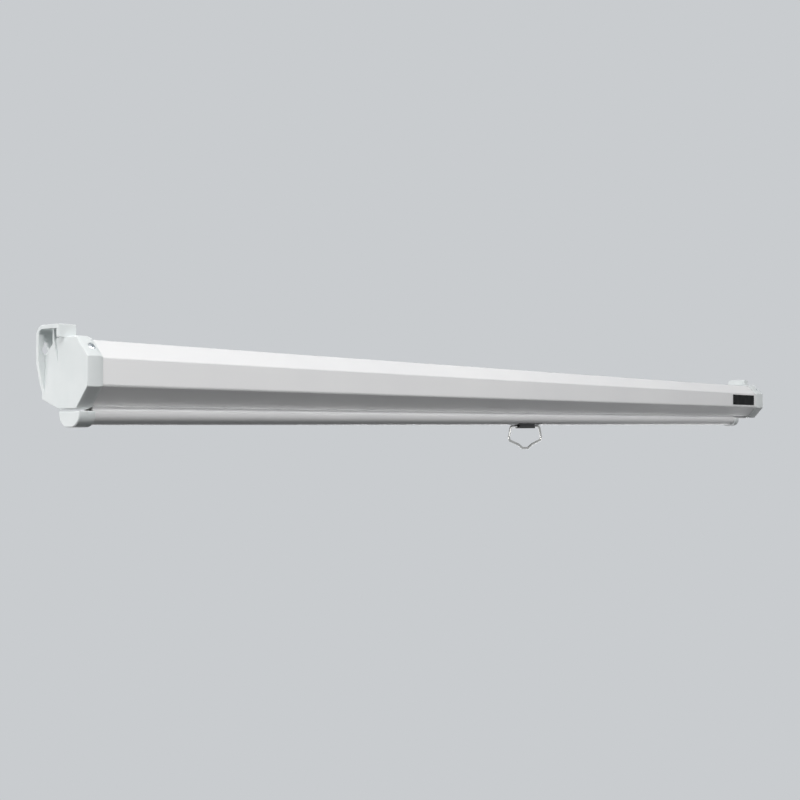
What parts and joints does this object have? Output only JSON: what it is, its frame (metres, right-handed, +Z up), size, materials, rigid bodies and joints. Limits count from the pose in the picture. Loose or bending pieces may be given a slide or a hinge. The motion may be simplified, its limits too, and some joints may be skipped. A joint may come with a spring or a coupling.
{
  "type": "pull down projector screen",
  "caption": "Wall mounted manual projector screen: octagonal white case with moulded end caps, sprung roller with ratchet lock, weight bar and wire pull handle, stored rolled up.",
  "frame": {"origin": "on the wall plane, at the middle of the case's length and of the end caps' height", "axes": "+X along the case to the right as seen from the room, +Y towards the wall, +Z up"},
  "size_m": [1.724, 0.073, 0.1329],
  "materials": {
    "case_enamel": "white baked enamel, satin",
    "cap_plastic": "white moulded ABS, satin",
    "zinc_steel": "bright zinc plate",
    "nickel_wire": "bright nickel plate",
    "spring_steel": "oiled spring steel",
    "roller_aluminium": "mill finish",
    "black_plastic": "black moulded nylon, satin",
    "natural_nylon": "natural nylon",
    "screen_fabric": "matt white screen cloth"
  },
  "bodies": {
    "case": {"case_shell": "case_enamel", "left_end_cap": "cap_plastic", "right_end_cap": "cap_plastic", "label_plate": "black_plastic", "left_bracket": "zinc_steel", "right_bracket": "zinc_steel", "left_bush": "natural_nylon", "spring_shaft": "zinc_steel", "spring_anchor": "black_plastic", "torsion_spring": "spring_steel", "ratchet_wheel": "zinc_steel", "left_cap_screw_upper": "zinc_steel", "left_cap_screw_lower": "zinc_steel", "left_bracket_screw_upper": "zinc_steel", "left_bracket_screw_lower": "zinc_steel", "right_cap_screw_upper": "zinc_steel", "right_cap_screw_lower": "zinc_steel", "right_bracket_screw_upper": "zinc_steel", "right_bracket_screw_lower": "zinc_steel"},
    "roller": {"roller_tube": "roller_aluminium", "fabric_roll": "screen_fabric", "left_plug": "black_plastic", "left_pin": "zinc_steel", "right_plug": "black_plastic", "shaft_steady": "natural_nylon", "pawl_pin_upper": "zinc_steel", "pawl_pin_lower": "zinc_steel"},
    "pawl_upper": {"pawl_upper": "zinc_steel"},
    "pawl_lower": {"pawl_lower": "zinc_steel"},
    "bar": {"weight_bar": "case_enamel", "bar_cap_left": "cap_plastic", "bar_cap_right": "cap_plastic", "hem_rod": "zinc_steel", "fabric_hem": "screen_fabric", "fabric_drop": "screen_fabric", "handle_bracket": "black_plastic", "handle_screw_left": "zinc_steel", "handle_screw_right": "zinc_steel"},
    "handle": {"pull_handle": "nickel_wire"}
  },
  "joints": [
    {"name": "bar_drop", "type": "slide", "parent": "case", "child": "bar", "axis": [0, 0, -1], "range_m": [0, 1.524], "deforming": ["fabric_drop"]},
    {"name": "roller_spin", "type": "hinge", "parent": "case", "child": "roller", "pos_m": [0, -0.023, -0.00145], "axis": [1, 0, 0], "range_deg": [0, 4951]},
    {"name": "pawl_upper_swing", "type": "hinge", "parent": "roller", "child": "pawl_upper", "pos_m": [0.8443, -0.023, 0.01055], "axis": [1, 0, 0], "range_deg": [-31, 10]},
    {"name": "pawl_lower_swing", "type": "hinge", "parent": "roller", "child": "pawl_lower", "pos_m": [0.8443, -0.023, -0.01345], "axis": [1, 0, 0], "range_deg": [-31, 10]},
    {"name": "handle_swing", "type": "hinge", "parent": "bar", "child": "handle", "pos_m": [-0.0473, -0.04325, -0.05185], "axis": [1, 0, 0], "range_deg": [-85, 85]}
  ],
  "couplings": [
    {"joint": "roller_spin", "follows": "bar_drop", "rad_per_m": 56.689}
  ]
}
